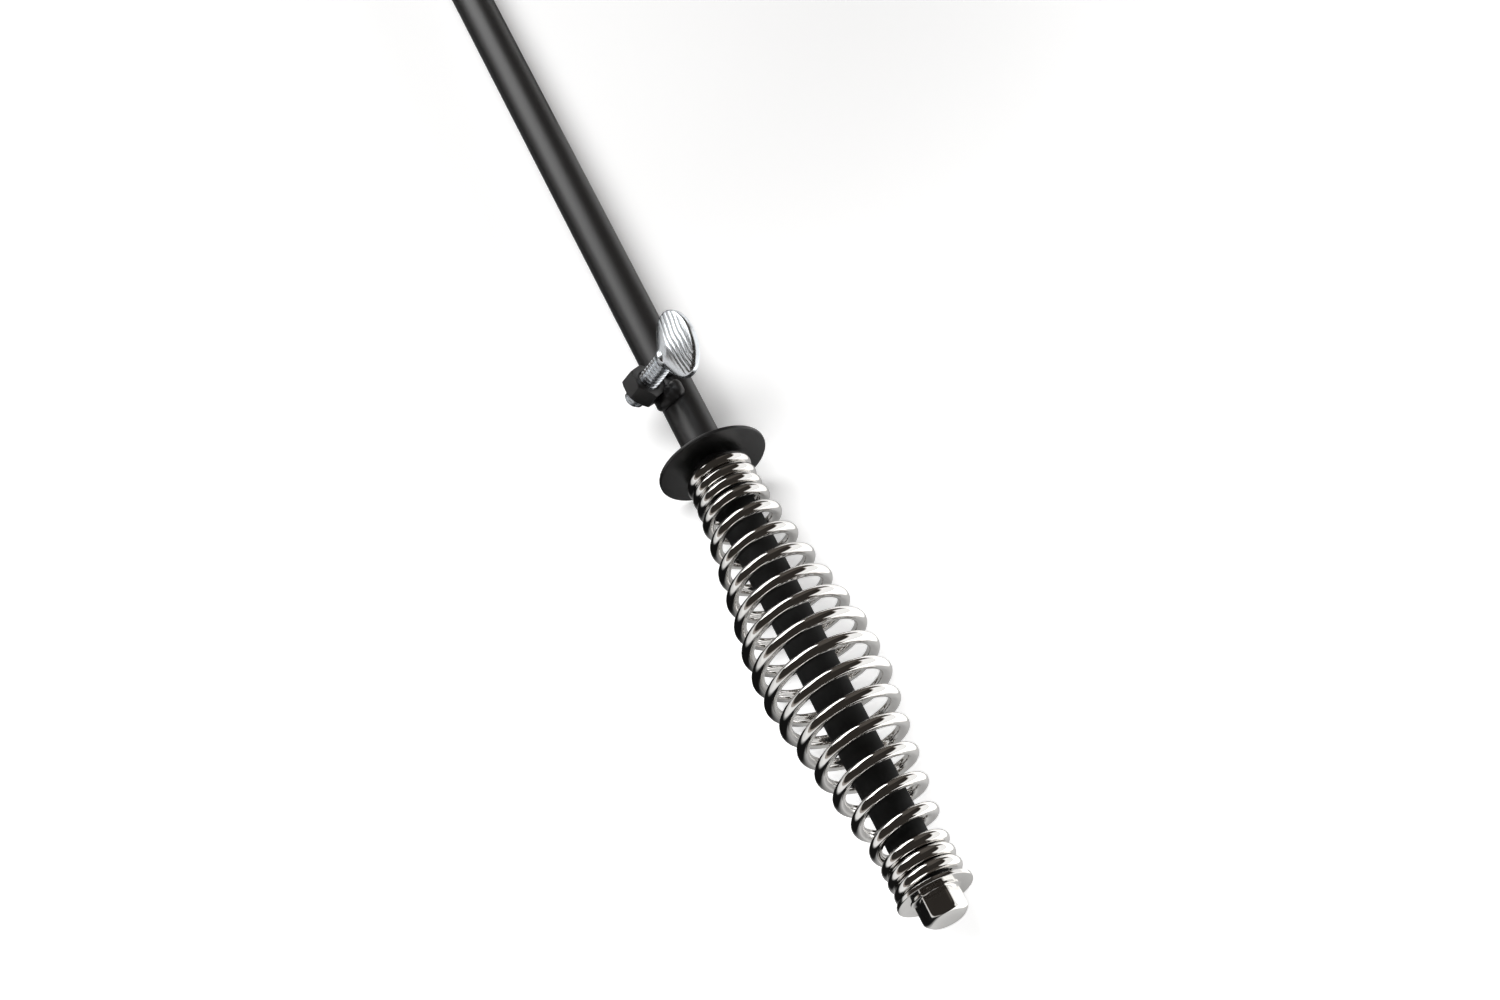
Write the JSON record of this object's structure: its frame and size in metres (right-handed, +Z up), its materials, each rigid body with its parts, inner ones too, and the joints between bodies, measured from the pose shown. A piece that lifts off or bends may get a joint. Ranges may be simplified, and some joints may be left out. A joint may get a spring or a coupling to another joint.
{
  "type": "spring-grip tool handle",
  "caption": "Tubular steel tool handle with a barrel-shaped coil spring grip, a round guard, an end bolt and a side-welded thumb-screw clamp.",
  "frame": {"origin": "centre of the tube's open mouth, at the end away from the grip", "axes": "+X along the tube from its open mouth to the grip's end bolt, +Z up, +Y by the right-hand rule; the clamp nut sits on the -Y side above the tube's middle height"},
  "size_m": [0.3996, 0.0376, 0.0479],
  "materials": {
    "black_paint": "satin black paint over steel",
    "spring_chrome": "polished nickel-chrome plated spring wire",
    "bolt_plating": "bright plated hex bolt and washer",
    "bright_zinc": "bright blue-white zinc plating",
    "plug_steel": "plain turned steel"
  },
  "bodies": {
    "handle": {"shaft_tube": "black_paint", "end_plug": "plug_steel", "end_bolt": "bolt_plating", "end_washer": "bolt_plating", "spring_grip": "spring_chrome", "guard_disc": "black_paint", "guard_weld": "black_paint", "clamp_nut": "black_paint", "nut_weld_grip_side": "black_paint", "nut_weld_far_side": "black_paint"},
    "screw_shank": {"thumb_screw_shank": "bright_zinc"},
    "screw_head": {"thumb_screw_head": "bright_zinc"}
  },
  "joints": [
    {"name": "screw_feed", "type": "slide", "parent": "handle", "child": "screw_shank", "axis": [0, -0.5736, -0.8192], "range_m": [-0.0078, 0.0065]},
    {"name": "screw_turn", "type": "hinge", "parent": "screw_shank", "child": "screw_head", "pos_m": [0.2097, -0.00979, 0.00685], "axis": [0, -0.5736, -0.8192], "range_deg": [-2160, 1800]}
  ],
  "couplings": [
    {"joint": "screw_feed", "follows": "screw_turn", "m_per_rad": 0.00020213}
  ]
}
